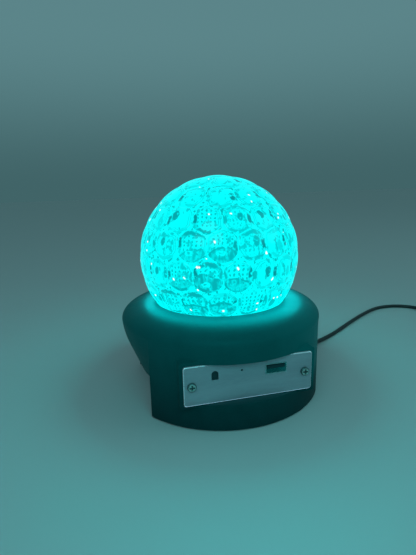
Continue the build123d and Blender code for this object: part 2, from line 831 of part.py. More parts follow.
# Speaker, facing down onto the sound holes
speaker_top = cover_top + speaker_depth
basket_radius = speaker_radius - speaker_flange / 2
with BuildPart() as speaker_frame:
    with BuildSketch(Plane.XY.offset(cover_top)):
        Circle(speaker_radius)
        with Locations(*speaker_screw_places):
            Circle(speaker_ear_radius)
        Circle(speaker_radius - speaker_flange, mode=Mode.SUBTRACT)
        with Locations(*speaker_screw_places):
            Circle(speaker_screw[2] + fit_gap, mode=Mode.SUBTRACT)
    extrude(amount=speaker_flange_thickness)
    with BuildSketch(Plane.XZ):
        with BuildLine():
            Polyline(
                (basket_radius, cover_top + speaker_flange_thickness),
                (speaker_neck_radius, speaker_top),
                (magnet_radius / 2, speaker_top),
                (magnet_radius / 2, speaker_top - speaker_sheet),
                (speaker_neck_radius - speaker_sheet, speaker_top - speaker_sheet),
                (basket_radius - speaker_sheet, cover_top + speaker_flange_thickness),
                close=True,
            )
        make_face()
    revolve(axis=Axis.Z)
write(speaker_frame, "speaker_frame")

with BuildPart() as speaker_magnet:
    with BuildSketch(Plane.XY.offset(speaker_top)):
        Circle(magnet_radius)
    extrude(amount=magnet_height)
    chamfer(speaker_magnet.edges().sort_by(Axis.Z)[-1], length=speaker_sheet)
write(speaker_magnet, "speaker_magnet")

with BuildPart() as speaker_cone:
    with BuildSketch(Plane.XZ):
        with BuildLine():
            Polyline(
                (speaker_radius - speaker_flange, cover_top + speaker_sheet),
                (magnet_radius / 2, speaker_top - 2 * speaker_sheet),
                (0, speaker_top - 2 * speaker_sheet),
                (0, speaker_top - speaker_sheet),
                (magnet_radius / 2, speaker_top - speaker_sheet),
                (speaker_radius - speaker_flange, cover_top + 2 * speaker_sheet),
                close=True,
            )
        make_face()
    revolve(axis=Axis.Z)
write(speaker_cone, "speaker_cone")

with BuildPart() as speaker_screws:
    with Locations(*[(x, y, cover_top + speaker_flange_thickness) for x, y in speaker_screw_places]):
        add(screw(speaker_screw))
write(speaker_screws, "speaker_screws")

# Rocker switch: its body, and the rocker, which stands pressed at one end
pivot_y = switch_seat + switch_bezel_thickness - rocker_pivot_depth
rocker_face = rocker_pivot_depth - rocker_sink
pivot_plane = Plane.XY.offset(switch_height)
with BuildPart() as switch_body:
    with BuildSketch(switch_plane):
        RectangleRounded(switch_bezel_length, switch_bezel_width, plate_corner_round)
    extrude(amount=switch_bezel_thickness)
    with BuildSketch(switch_plane):
        Rectangle(switch_body_length, switch_body_width)
    extrude(amount=-switch_body_depth)
    with BuildSketch(pivot_plane.offset(-rocker_width / 2 - rocker_gap)):
        with Locations((0, pivot_y)):
            Circle(rocker_radius + rocker_gap)
    extrude(amount=rocker_width + 2 * rocker_gap, mode=Mode.SUBTRACT)
    with BuildSketch(pivot_plane.offset(-rocker_width / 2 - rocker_pin_length)):
        with Locations((0, pivot_y)):
            Circle(rocker_pin_radius + fit_gap)
    extrude(amount=rocker_width + 2 * rocker_pin_length, mode=Mode.SUBTRACT)
write(switch_body, "switch_body")

face_rise = rocker_radius * tan(radians(rocker_throw_angle))
with BuildPart() as rocker_upright:
    with BuildSketch(Plane.XY.offset(-rocker_width / 2)):
        Circle(rocker_radius)
        with BuildLine(mode=Mode.PRIVATE) as face_cut:
            Polyline(
                (0, rocker_face),
                (rocker_radius, rocker_face + face_rise),
                (rocker_radius, 2 * rocker_radius),
                (-rocker_radius, 2 * rocker_radius),
                (-rocker_radius, rocker_face + face_rise),
                close=True,
            )
        make_face(face_cut.edges(), mode=Mode.SUBTRACT)
        with Locations((0, -rocker_radius)):
            Rectangle(2 * rocker_radius, 2 * (rocker_radius - rocker_pivot_depth), mode=Mode.SUBTRACT)
    extrude(amount=rocker_width)
    with BuildSketch(Plane.XY.offset(-rocker_width / 2 - rocker_pin_length + rocker_gap)):
        Circle(rocker_pin_radius)
    extrude(amount=rocker_width + 2 * (rocker_pin_length - rocker_gap))
with BuildPart() as switch_rocker:
    with Locations(Location((0, pivot_y, switch_height), (0, 0, rocker_throw_angle))):
        add(rocker_upright.part)
write(switch_rocker, "switch_rocker")

# Strain relief in the gland
with BuildPart() as strain_relief:
    with BuildSketch(gland_plane):
        Circle(relief_root_radius)
    extrude(amount=-gland_depth)
    with BuildSketch(gland_plane):
        Circle(relief_collar_radius)
    extrude(amount=relief_collar_length)
    collar_edge = strain_relief.edges().filter_by(GeomType.CIRCLE).sort_by(Axis.X)[-1]
    fillet(collar_edge, radius=relief_collar_length / 4)
    with BuildSketch(gland_plane.offset(relief_collar_length)):
        Circle(relief_root_radius)
    with BuildSketch(gland_plane.offset(relief_collar_length + relief_length)):
        Circle(relief_tip_radius)
    loft()
    for groove in range(relief_grooves):
        with BuildSketch(gland_plane.offset(relief_collar_length + (groove + 1) * relief_groove_pitch)):
            Circle(relief_root_radius)
            Circle(relief_tip_radius - relief_groove_width / 2, mode=Mode.SUBTRACT)
        extrude(amount=relief_groove_width, mode=Mode.SUBTRACT)
write(strain_relief, "strain_relief")


def bend_radii(points):
    """A radius for each bend of a route, from the shorter of the two runs that meet there."""
    radii = []
    for before, here, after in zip(points, points[1:], points[2:]):
        arriving = Vector(*here) - Vector(*before)
        leaving = Vector(*after) - Vector(*here)
        turn = radians(arriving.get_angle(leaving))
        radii.append(bend_share * min(arriving.length, leaving.length) / tan(turn / 2))
    return radii


def report_tube(name, piece, length, smallest):
    """Prints a tube's smallest bend, its volume and the volume that its length gives."""
    expected = pi * (cord_diameter / 2) ** 2 * length
    print(f"{name}: length {length:.1f} smallest bend {smallest:.1f}", end=" ")
    print(f"volume {piece.volume:.0f} of {expected:.0f}")


# Cord: a free stretch on the table, a neat coil in two layers, and a short tail to the plug
coil_pitch = cord_diameter + coil_gap
coil_low = cord_diameter / 2 + tie_thickness + fit_gap
coil_high = coil_low + coil_pitch
table_level = cord_diameter / 2 + fit_gap
plug_level = plug_height / 2 + fit_gap
coil_outer_radius = coil_mid_radius + (coil_layer_halves - 1) * coil_pitch / 4
half_radii = [coil_outer_radius - step * coil_pitch / 2 for step in range(coil_layer_halves + 1)]
half_radii = half_radii + half_radii[-2:0:-1]
coil_left = coil_x - coil_outer_radius
coil_inner_radius = half_radii[coil_layer_halves]

with BuildPart() as cord_coil:
    with BuildLine() as coil_path:
        here = (coil_left, coil_y + cord_diameter, coil_low)
        following = (coil_left, coil_y, coil_low)
        Line(here, following)
        here = following
        for step, radius in enumerate(half_radii):
            side = 1 if step % 2 == 0 else -1
            level = coil_low if step < coil_layer_halves else coil_high
            following = (here[0] + side * 2 * radius, coil_y, level)
            tilted = sqrt(radius**2 + ((level - here[2]) / 2) ** 2)
            middle = (here[0] + side * radius, coil_y - side * tilted, (here[2] + level) / 2)
            ThreePointArc(here, middle, following)
            here = following
        coil_end = here
        Line(coil_end, (coil_end[0], coil_y - cord_diameter, coil_high))
    with BuildSketch(Plane(origin=(coil_left, coil_y + cord_diameter, coil_low), z_dir=(0, -1, 0))):
        Circle(cord_diameter / 2)
    sweep()
write(cord_coil, "cord_coil")
coil_wire = coil_path.wire()
report_tube("cord_coil", cord_coil.part, coil_wire.length, min(half_radii))
coil_steps = 900
coil_points = [coil_wire.position_at(step / coil_steps) for step in range(coil_steps + 1)]
apart = int(pi * coil_inner_radius / coil_wire.length * coil_steps / 2)
least = min(
    (coil_points[low] - coil_points[high]).length
    for low in range(coil_steps + 1)
    for high in range(low + apart, coil_steps + 1)
)
print(f"cord_coil: least gap to itself {least - cord_diameter:.2f} turns {len(half_radii) / 2}")

relief_end = relief_collar_length + relief_length
cord_start = gland_plane.offset(relief_end).origin
cord_lead = gland_plane.offset(relief_end + route_lead).origin
cord_route = [
    (cord_start.X, cord_start.Y, cord_start.Z),
    (cord_lead.X, cord_lead.Y, cord_lead.Z),
    (87.0, 26.5, 4.4),
    (99.5, 35.5, 2.5),
    (122.5, 49.0, table_level),
    (155.0, 72.5, table_level),
    (181.5, 90.0, table_level),
    (206.0, 103.5, table_level),
    (226.0, 105.0, table_level),
    (242.0, 98.0, table_level),
    (coil_left, coil_y + cord_diameter + route_approach, coil_low),
    (coil_left, coil_y + cord_diameter, coil_low),
]
with BuildPart() as power_cord:
    with BuildLine() as cord_path:
        FilletPolyline(*cord_route, radius=bend_radii(cord_route))
    with BuildSketch(Plane(origin=cord_route[0], x_dir=(0, 0, 1), z_dir=(gland_out[0], gland_out[1], 0))):
        Circle(cord_diameter / 2)
    sweep()
write(power_cord, "power_cord")
report_tube("power_cord", power_cord.part, cord_path.wire().length, min(bend_radii(cord_route)))

tail_start = (coil_end[0], coil_y - cord_diameter, coil_high)
plug_x = coil_end[0] - cord_diameter / 2
tail_route = [
    tail_start,
    (coil_end[0], tail_start[1] - tail_straight, coil_high),
    (plug_x, tail_start[1] - tail_straight - tail_drop, plug_level),
    (plug_x, tail_start[1] - tail_straight - tail_drop - tail_approach, plug_level),
]
plug_start = tail_route[-1][1]
with BuildPart() as cord_tail:
    with BuildLine() as tail_path:
        FilletPolyline(*tail_route, radius=bend_radii(tail_route))
    with BuildSketch(Plane(origin=tail_start, z_dir=(0, -1, 0))):
        Circle(cord_diameter / 2)
    sweep()
write(cord_tail, "cord_tail")
report_tube("cord_tail", cord_tail.part, tail_path.wire().length, min(bend_radii(tail_route)))

# Tie round the coil's turns on its far side
tie_inner_x = coil_x + coil_inner_radius - cord_diameter / 2 - tie_gap
tie_outer_x = coil_x + coil_outer_radius + cord_diameter / 2 + tie_gap
tie_top = coil_high + cord_diameter / 2 + fit_gap + tie_thickness
with BuildPart() as cord_tie:
    with BuildSketch(Plane.XZ.offset(-coil_y - tie_width / 2)):
        with Locations(((tie_inner_x + tie_outer_x) / 2, tie_top / 2)):
            RectangleRounded(tie_outer_x - tie_inner_x + 2 * tie_thickness, tie_top, 2 * tie_thickness)
            RectangleRounded(
                tie_outer_x - tie_inner_x, tie_top - 2 * tie_thickness, tie_thickness, mode=Mode.SUBTRACT
            )
    extrude(amount=tie_width)
write(cord_tie, "cord_tie")

# Plug, lying on the table
plug_plane = Plane(origin=(plug_x, plug_start, plug_level), x_dir=(-1, 0, 0), z_dir=(0, -1, 0))
with BuildPart() as usb_plug_body:
    with BuildSketch(plug_plane):
        Circle(cord_diameter / 2 + plug_shell_wall)
    with BuildSketch(plug_plane.offset(plug_relief_length)):
        Circle(plug_relief_radius)
    loft()
    with BuildSketch(plug_plane.offset(plug_relief_length)):
        RectangleRounded(plug_width, plug_height, plug_round)
    extrude(amount=plug_length)
    chamfer(usb_plug_body.faces().sort_by(Axis.Y)[0].edges(), length=plug_shell_wall)
write(usb_plug_body, "usb_plug_body")

plug_face = plug_plane.offset(plug_relief_length + plug_length)
with BuildPart() as usb_plug_shell:
    with BuildSketch(plug_face):
        Rectangle(plug_shell_width, plug_shell_height)
        Rectangle(
            plug_shell_width - 2 * plug_shell_wall,
            plug_shell_height - 2 * plug_shell_wall,
            mode=Mode.SUBTRACT,
        )
    extrude(amount=plug_shell_length)
    with BuildSketch(plug_face):
        with Locations((0, tongue_drop - plug_shell_wall)):
            Rectangle(plug_shell_width - 2 * plug_shell_wall, tongue_thickness)
    extrude(amount=plug_shell_length - plug_shell_wall)
write(usb_plug_shell, "usb_plug_shell")
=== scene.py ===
import math
import random

import bmesh
import bpy
from mathutils import Matrix, Vector


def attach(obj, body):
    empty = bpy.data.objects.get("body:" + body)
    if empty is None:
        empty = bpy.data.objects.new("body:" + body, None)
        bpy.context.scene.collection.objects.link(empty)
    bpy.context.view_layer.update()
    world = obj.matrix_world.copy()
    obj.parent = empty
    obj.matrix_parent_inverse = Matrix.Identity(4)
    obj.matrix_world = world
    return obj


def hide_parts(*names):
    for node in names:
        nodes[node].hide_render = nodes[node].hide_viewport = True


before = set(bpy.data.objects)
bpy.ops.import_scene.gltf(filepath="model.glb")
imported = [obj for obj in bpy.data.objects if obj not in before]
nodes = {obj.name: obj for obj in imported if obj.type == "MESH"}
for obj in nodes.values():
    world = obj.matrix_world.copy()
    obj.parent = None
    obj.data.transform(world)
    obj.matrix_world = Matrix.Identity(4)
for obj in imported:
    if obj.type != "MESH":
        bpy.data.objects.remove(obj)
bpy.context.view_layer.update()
MM = 0.001

# The sockets of a colour mix go by number, as some of their names are there more than once
MIX_FACTOR = 0
MIX_FIRST = 6
MIX_SECOND = 7
MIX_RESULT = 2


# Node helpers
class Field:
    """A value in a material's node tree, with the usual arithmetic."""

    def __init__(self, tree, socket):
        self.tree = tree
        self.socket = socket

    def _math(self, operation, *others):
        node = self.tree.nodes.new("ShaderNodeMath")
        node.operation = operation
        self.tree.links.new(self.socket, node.inputs[0])
        for index, other in enumerate(others):
            if isinstance(other, Field):
                self.tree.links.new(other.socket, node.inputs[index + 1])
            else:
                node.inputs[index + 1].default_value = other
        return Field(self.tree, node.outputs[0])

    def __add__(self, other):
        return self._math("ADD", other)

    def __sub__(self, other):
        return self._math("SUBTRACT", other)

    def __rsub__(self, other):
        return self._math("MULTIPLY", -1.0) + other

    def __mul__(self, other):
        return self._math("MULTIPLY", other)

    def __truediv__(self, other):
        return self._math("DIVIDE", other)

    def absolute(self):
        return self._math("ABSOLUTE")

    def fraction(self):
        return self._math("FRACT")

    def root(self):
        return self._math("SQRT")

    def greatest(self, other):
        return self._math("MAXIMUM", other)

    def least(self, other):
        return self._math("MINIMUM", other)

    def step(self, start, end, low=0.0, high=1.0):
        """Goes smoothly from low to high while the value goes from start to end."""
        node = self.tree.nodes.new("ShaderNodeMapRange")
        node.interpolation_type = "SMOOTHSTEP"
        self.tree.links.new(self.socket, node.inputs["Value"])
        node.inputs["From Min"].default_value = start
        node.inputs["From Max"].default_value = end
        node.inputs["To Min"].default_value = low
        node.inputs["To Max"].default_value = high
        return Field(self.tree, node.outputs["Result"])


def oval(across, up, across_weight=1.0, up_weight=1.0):
    """The distance from a middle point, in an oval's measure where the weights differ."""
    return (across * across * across_weight + up * up * up_weight).root()


def principled(material):
    return material.node_tree.nodes["Principled BSDF"]


def new_material(name):
    material = bpy.data.materials.new(name)
    material.use_nodes = True
    return material, material.node_tree, principled(material)


def split_axes(tree, vector):
    """The three values of a vector."""
    split = tree.nodes.new("ShaderNodeSeparateXYZ")
    tree.links.new(vector, split.inputs["Vector"])
    return [Field(tree, split.outputs[axis]) for axis in "XYZ"]


def object_place(tree, scale=(1, 1, 1)):
    """The place on the object, stretched by scale."""
    coordinates = tree.nodes.new("ShaderNodeTexCoord")
    mapping = tree.nodes.new("ShaderNodeMapping")
    mapping.inputs["Scale"].default_value = scale
    tree.links.new(coordinates.outputs["Object"], mapping.inputs["Vector"])
    return mapping.outputs["Vector"]


def uv_axes(tree, name):
    """The two values that the mesh keeps under a name."""
    where = tree.nodes.new("ShaderNodeUVMap")
    where.uv_map = name
    return split_axes(tree, where.outputs["UV"])[:2]


def noise(tree, place, scale, detail=3.0, roughness=0.55):
    node = tree.nodes.new("ShaderNodeTexNoise")
    node.inputs["Scale"].default_value = scale
    node.inputs["Detail"].default_value = detail
    node.inputs["Roughness"].default_value = roughness
    tree.links.new(place, node.inputs["Vector"])
    return Field(tree, node.outputs["Fac"])


def mix_colours(tree, factor, first, second):
    """Goes from first to second. Each is a colour or another node's output."""
    node = tree.nodes.new("ShaderNodeMix")
    node.data_type = "RGBA"
    for number, colour in ((MIX_FIRST, first), (MIX_SECOND, second)):
        if isinstance(colour, bpy.types.NodeSocket):
            tree.links.new(colour, node.inputs[number])
        else:
            node.inputs[number].default_value = (*colour, 1)
    tree.links.new(factor.socket, node.inputs[MIX_FACTOR])
    return node.outputs[MIX_RESULT]


def paint_light(material, colour, strength):
    """Paints light onto a surface as a glow of its own. The strength is a number or a field."""
    shader = principled(material)
    shader.inputs["Emission Color"].default_value = (*colour, 1)
    if isinstance(strength, Field):
        material.node_tree.links.new(strength.socket, shader.inputs["Emission Strength"])
    else:
        shader.inputs["Emission Strength"].default_value = strength


def textured(name, low, high, roughness, metallic=0.0, grain=900.0, depth=0.02 * MM, stretch=(1, 1, 1),
             patch=60.0, spread=0.12, specular=0.5):
    """A material whose colour, roughness and relief all vary at the scale of the real surface."""
    material, tree, shader = new_material(name)
    place = object_place(tree, stretch)
    fine = noise(tree, place, grain, 4.0)
    broad = noise(tree, place, patch, 3.0)
    blend = (fine * 0.45 + broad * 0.55).step(0.3, 0.7)
    tree.links.new(mix_colours(tree, blend, low, high), shader.inputs["Base Color"])
    rough = blend * (2 * spread) + (roughness - spread)
    tree.links.new(rough.socket, shader.inputs["Roughness"])
    shader.inputs["Metallic"].default_value = metallic
    shader.inputs["Specular IOR Level"].default_value = specular
    bump = tree.nodes.new("ShaderNodeBump")
    bump.inputs["Strength"].default_value = 0.5
    bump.inputs["Distance"].default_value = depth
    tree.links.new(fine.socket, bump.inputs["Height"])
    tree.links.new(bump.outputs["Normal"], shader.inputs["Normal"])
    return material


# Mouldings, metals and boards
housing = textured("housing_black", (0.001, 0.024, 0.026), (0.003, 0.036, 0.039), 0.5, grain=1400,
                   depth=0.04 * MM, patch=90, spread=0.08, specular=0.12)
panel = textured("panel_silver", (0.27, 0.28, 0.32), (0.33, 0.34, 0.385), 0.42, metallic=0.25, grain=700,
                 depth=0.01 * MM, stretch=(0.4, 1, 4), patch=40, spread=0.06)
# A lighter copy of the panel's finish for its chamfer: a painted highlight
panel_edge_highlight = textured("panel_edge_highlight", (0.72, 0.76, 0.8), (0.84, 0.88, 0.92), 0.3, metallic=0.7,
                      spread=0.05)
screw_steel = textured("screw_steel", (0.15, 0.18, 0.19), (0.28, 0.32, 0.33), 0.28, metallic=0.9,
                       grain=1200)
plate_screw = textured("plate_screw", (0.32, 0.42, 0.41), (0.44, 0.54, 0.52), 0.34, metallic=0.7,
                       grain=1200)
shaft_steel = textured("shaft_steel", (0.5, 0.5, 0.5), (0.66, 0.66, 0.66), 0.25, metallic=1.0,
                       stretch=(1, 1, 6))
motor_metal = textured("motor_metal", (0.42, 0.42, 0.41), (0.6, 0.6, 0.58), 0.35, metallic=1.0,
                       stretch=(1, 1, 5))
socket_steel = textured("socket_steel", (0.3, 0.34, 0.35), (0.45, 0.5, 0.51), 0.3, metallic=0.95)
plug_steel = textured("plug_steel", (0.45, 0.45, 0.46), (0.62, 0.62, 0.63), 0.28, metallic=1.0)
white_plastic = textured("white_plastic", (0.66, 0.67, 0.67), (0.76, 0.77, 0.77), 0.45)
black_plastic = textured("black_plastic", (0.012, 0.015, 0.016), (0.024, 0.029, 0.03), 0.26, spread=0.06)
tongue_black = textured("tongue_black", (0.004, 0.03, 0.036), (0.006, 0.042, 0.05), 0.5, specular=0.2)
ir_dark = textured("ir_dark", (0.001, 0.022, 0.026), (0.003, 0.034, 0.038), 0.2, spread=0.03,
                   specular=0.3)
board_green = textured("board_green", (0.012, 0.1, 0.04), (0.025, 0.17, 0.07), 0.4, grain=500)
board_white = textured("board_white", (0.72, 0.74, 0.74), (0.82, 0.84, 0.84), 0.4, grain=500)
speaker_paint = textured("speaker_frame", (0.03, 0.03, 0.031), (0.06, 0.06, 0.062), 0.4)
speaker_paper = textured("speaker_cone", (0.02, 0.02, 0.021), (0.045, 0.044, 0.043), 0.85, grain=500,
                         depth=0.1 * MM)
magnet_dark = textured("magnet_dark", (0.035, 0.035, 0.04), (0.07, 0.07, 0.075), 0.6, grain=400)
rubber = textured("rubber_black", (0.008, 0.009, 0.009), (0.018, 0.02, 0.02), 0.75, grain=800,
                  depth=0.05 * MM)
cord_black = textured("cord_black", (0.004, 0.009, 0.0095), (0.009, 0.017, 0.018), 0.42, grain=1000,
                      spread=0.06)

# The panel's screws: where they stand, and the painted shade in the cross and at the rim of their heads
SCREW_SIDEWAYS = 35.1 * MM
SCREW_HEIGHT = 30.0 * MM
CROSS_HALF_WIDTH = 0.5 * MM
CROSS_HALF_LENGTH = 1.65 * MM
CROSS_BLUR = 0.15 * MM
RIM_RADIUS = 2.15 * MM
RIM_BLUR = 0.2 * MM
SCREW_SHADE_COLOUR = (0.008, 0.06, 0.065)


def paint_screw_shade(material):
    """Paints shade into the cross and onto the curved rim of the panel's screws."""
    tree = material.node_tree
    across, _, height = split_axes(tree, object_place(tree))
    sideways = across.absolute() - SCREW_SIDEWAYS
    upright = height - SCREW_HEIGHT
    off_axis = oval(sideways, upright)
    cross = sideways.absolute().least(upright.absolute())
    cross = cross.step(CROSS_HALF_WIDTH + CROSS_BLUR, CROSS_HALF_WIDTH - CROSS_BLUR)
    cross = cross * off_axis.step(CROSS_HALF_LENGTH + CROSS_BLUR, CROSS_HALF_LENGTH - CROSS_BLUR)
    rim = off_axis.step(RIM_RADIUS - RIM_BLUR, RIM_RADIUS + RIM_BLUR)
    dark = (cross * 0.85).greatest(rim * 0.8)
    colour = principled(material).inputs["Base Color"]
    tree.links.new(mix_colours(tree, dark, colour.links[0].from_socket, SCREW_SHADE_COLOUR), colour)


paint_screw_shade(plate_screw)

# Painted light: the socket glows faintly, so its throat is never quite black
paint_light(socket_steel, (0.0, 0.95, 1.0), 0.038)

# Painted light: the panel's lower edge glows as if it caught the light of the table
tree = panel_edge_highlight.node_tree
normal = split_axes(tree, tree.nodes.new("ShaderNodeNewGeometry").outputs["Normal"])
paint_light(panel_edge_highlight, (0.4, 0.75, 1.0), normal[2].step(-0.3, -0.6, 0.05, 0.85))

# Ball: the sizes that the light around it follows too
BALL_RADIUS = 54.2 * MM
WEB_RADIUS = 53.75 * MM
BORE_RADIUS = 51.75 * MM
BALL_CENTRE = Vector((0, 0, 93.1 * MM))

# Painted light: the matt housing glows of itself where the ball's light would fall on it, less and less
# away from the ball
across, along, height = split_axes(housing.node_tree, object_place(housing.node_tree))
above = height - BALL_CENTRE.z
away = (across * across + along * along + above * above).root() - BALL_RADIUS
painted_ball_light = away.step(-10 * MM, 66 * MM, 0.048, 0.0)
# Painted light: the right-hand side also glows where light from the table beyond it would fall
painted_table_light = across.step(0.0, 50 * MM, 0.0, 0.022) * height.step(13 * MM, 27 * MM)
paint_light(housing, (0.0, 0.96, 1.0), painted_ball_light + painted_table_light)
principled(housing).inputs["Specular Tint"].default_value = (0.1, 1.0, 1.0, 1)

# Clear mouldings that are lit from inside
WHITE = (1, 1, 1)
CYAN = (0.0, 1.0, 1.0)
DEEP_CYAN = (0.0, 0.2, 0.225)
CLEAR_BASE = (0.0, 0.05, 0.055)


def clear_finish(tree, glow, strength, base, roughness):
    """A clear moulding's surface, lit from inside with the colour that glow gives."""
    shader = tree.nodes["Principled BSDF"]
    tree.links.new(glow, shader.inputs["Emission Color"])
    shader.inputs["Emission Strength"].default_value = strength
    shader.inputs["Base Color"].default_value = (*base, 1)
    shader.inputs["Roughness"].default_value = roughness
    shader.inputs["Specular IOR Level"].default_value = 0.15


def glowing(name, colour, strength, base, scale=120, start=0.3, end=0.7, low=0.8, glints=0):
    """A clear moulding lit from inside, a little uneven. Glints is the scale of its painted white glints.
    """
    material, tree, _ = new_material(name)
    place = object_place(tree)
    cloud = noise(tree, place, scale, 3.0)
    glow = mix_colours(tree, cloud.step(start, end), [low * c for c in colour], colour)
    if glints:
        glow = mix_colours(tree, noise(tree, place, glints, 1.0).step(0.73, 0.76), glow, WHITE)
    clear_finish(tree, glow, strength, base, 0.12)
    return material


led_body = glowing("led_body", (0.25, 1.0, 1.0), 1.6, (0.7, 0.9, 0.9))
rotor_clear = glowing("rotor_clear", (0.0, 0.8, 0.85), 0.8, (0.5, 0.7, 0.7))
web_glow = glowing("lens_clear", CYAN, 1.0, CLEAR_BASE, scale=420, start=0.37, end=0.47, low=0.45,
                   glints=310)
status_glow = glowing("status_led", (0.0, 0.02, 0.02), 0.4, (0.003, 0.01, 0.01))


# How much of the inside a lens shows is its tone. Clear lenses have the lowest
CLEAR_TONE = -0.3
MOST_TONE = 1.25


# The pattern on the lenses. A place on a lens runs from its middle, and 1 is its own edge
class Lens:
    """What all marks on a lens share. The mesh keeps each lens's tone and a random number of its own."""

    def __init__(self, tree):
        place = object_place(tree)
        self.cloud = noise(tree, place, 95, 2.0)
        self.wobble = noise(tree, place, 230, 2.0)
        sway = noise(tree, place, 290, 2.0)
        self.speckle = noise(tree, place, 330, 2.0)
        self.streak = noise(tree, object_place(tree, (1, 1, 0.4)), 340, 2.0)
        u, v = uv_axes(tree, "lens")
        self.u = u + (self.wobble - 0.5) * 0.3
        self.v = v + (sway - 0.5) * 0.3
        kind, self.seed = uv_axes(tree, "kind")
        self.spotted = kind.step(CLEAR_TONE + 0.1, 0.0)
        self.tone = kind.greatest(0.0)
        self.dotted = self.tone.step(0.12, 0.35)
        self.away = oval(self.u, self.v)

    def draw(self, number):
        """A value from 0 to 1 that is the lens's own, and another one for each number."""
        return (self.seed * number).fraction()


def hollow(lens):
    """The dark lower part of a lens that shows the inside of the base."""
    tilt = (lens.draw(43) - 0.5) * 0.5
    height = lens.tone * 0.34 + 0.15 + lens.draw(53) * 0.08
    width = lens.tone * 0.5 + 0.5
    up = (lens.v - lens.u * tilt + 0.77 - lens.tone * 0.3) / height
    out = oval((lens.u + tilt * 0.2) / width, up)
    inside = out.step(1.12, 0.86) * lens.streak.step(0.36, 0.6, 0.72, 0.2)
    brim = (out - 0.95).absolute().step(0.2, 0.06) * lens.speckle.step(0.3, 0.5)
    return inside.greatest(brim * 0.72) * lens.tone.step(0.4, 0.75)


def hollow_ring(lens):
    """A painted highlight: a bright ring in the hollow."""
    ring = oval(lens.u - (lens.seed - 0.5) * 0.3, lens.v + 0.42, 1.0, 3.0) - 0.18
    return ring.absolute().step(0.14, 0.03) * lens.tone * lens.draw(37).step(0.3, 0.4)


def emitter_dots(lens):
    """The emitters, seen many times over."""
    cell_u = (lens.u * 3.6 + lens.seed * 3).fraction() - 0.5
    cell_v = (lens.v * 3.9 + lens.seed * 7).fraction() - 0.5
    dots = oval(cell_u, cell_v, 1.6, 0.8).step(0.4, 0.12)
    return dots * lens.v.step(-0.65, -0.45) * lens.away.step(0.92, 0.7) * lens.dotted


def side_marks(lens):
    """Upright dark marks at one side of a lens, or at both."""
    right = ((lens.u - 0.82).absolute() + lens.dotted * 0.06).step(0.24, 0.14)
    left = ((lens.u + 0.84).absolute() + lens.dotted * 0.08).step(0.22, 0.12)
    left = left * lens.draw(19).step(0.45, 0.6)
    up = (lens.v - 0.1 - (lens.seed - 0.5) * 0.3).absolute().step(0.4, 0.24)
    return right.greatest(left * 0.7) * up * lens.draw(17).step(0.15, 0.25)


def dark_arcs(lens):
    """Dark arcs along the top and the foot of a lens."""
    top = (lens.away - 0.8).absolute().step(0.2, 0.08) * lens.v.step(0.5, 0.68)
    top = top * lens.draw(23).step(0.35, 0.5)
    foot = (lens.away - 0.84).absolute().step(0.15, 0.05) * (lens.v + 0.8).absolute().step(0.26, 0.12)
    foot = foot * lens.draw(31).step(0.2, 0.3)
    return top.greatest(foot) * (lens.dotted * 0.5 + 0.3)


def dark_blot(lens):
    """One dark spot on a lens that shows little of the inside."""
    blot = oval(lens.u + (lens.seed - 0.5) * 0.7, lens.v + (lens.draw(61) - 0.5) * 0.5, 2.4, 1.0)
    blot = (blot + lens.draw(71) * 0.14).step(0.44, 0.32) * lens.spotted
    return blot * (1.0 - lens.tone.step(0.2, 0.42)) * lens.tone.step(0.0, 0.12, 0.35, 0.9)


def edge_lines(lens):
    """Thin broken rings towards the edge of a lens."""
    lines = (lens.away * 7.0 + lens.wobble * 3.0).fraction() - 0.5
    return lines.absolute().step(0.24, 0.08) * lens.away.step(0.55, 0.75) * lens.cloud.step(0.36, 0.52)


def painted_glint(lens, u_draw, v_draw, chance_draw):
    """A painted glint: a white point, somewhere on about half of the lenses."""
    glint = oval(lens.u - lens.draw(u_draw) * 1.3 + 0.65, lens.v - lens.draw(v_draw) * 1.3 + 0.65)
    return glint.step(0.1, 0.04) * lens.draw(chance_draw).step(0.5, 0.54)


def lens_material():
    """What is seen through each lens: the emitters' points of light, darker hollows and a few painted
    glints.
    """
    material, tree, _ = new_material("lens_clear_pattern")
    lens = Lens(tree)
    marks = side_marks(lens).greatest(dark_arcs(lens)) * lens.speckle.step(0.34, 0.46)
    marks = marks.greatest(dark_blot(lens) * lens.speckle.step(0.25, 0.4))
    flecks = lens.streak.step(0.5, 0.62) * lens.speckle.step(0.42, 0.56)
    dark = hollow(lens).greatest(emitter_dots(lens) * 0.62).greatest(marks * 0.9)
    dark = dark.greatest(flecks * 0.5).greatest(edge_lines(lens) * 0.35)
    dark = (dark - hollow_ring(lens) * 0.6).greatest(0.0)
    # Bright outlines where the lenses meet
    dark = dark * lens.away.step(1.1, 0.99)
    glints = painted_glint(lens, 1, 13, 29).greatest(painted_glint(lens, 41, 7, 19))
    glow = mix_colours(tree, glints, mix_colours(tree, dark, CYAN, DEEP_CYAN), WHITE)
    clear_finish(tree, glow, 1.0, CLEAR_BASE, 0.1)
    return material


lens_glow = lens_material()

# The material of each solid that the scene keeps
slots = {
    "base_housing": housing,
    "led_deck": white_plastic,
    "deck_screws": screw_steel,
    "led_board": board_white,
    "led_emitters": led_body,
    "rotor_dish": rotor_clear,
    "rotor_hub": white_plastic,
    "motor_shaft": shaft_steel,
    "motor_body": motor_metal,
    "motor_screws": screw_steel,
    "control_plate": panel,
    "plate_screws": plate_screw,
    "ir_receiver": ir_dark,
    "status_led": status_glow,
    "usb_socket_shell": socket_steel,
    "usb_socket_tongue": tongue_black,
    "player_board": board_green,
    "board_screws": screw_steel,
    "board_parts": black_plastic,
    "bottom_cover": housing,
    "cover_screws": screw_steel,
    "rubber_feet": rubber,
    "speaker_frame": speaker_paint,
    "speaker_cone": speaker_paper,
    "speaker_magnet": magnet_dark,
    "speaker_screws": screw_steel,
    "switch_body": black_plastic,
    "switch_rocker": black_plastic,
    "strain_relief": rubber,
    "cord_tie": rubber,
    "usb_plug_body": cord_black,
    "usb_plug_shell": plug_steel,
}
for name, material in slots.items():
    data = nodes[name].data
    data.materials.clear()
    data.materials.append(material)
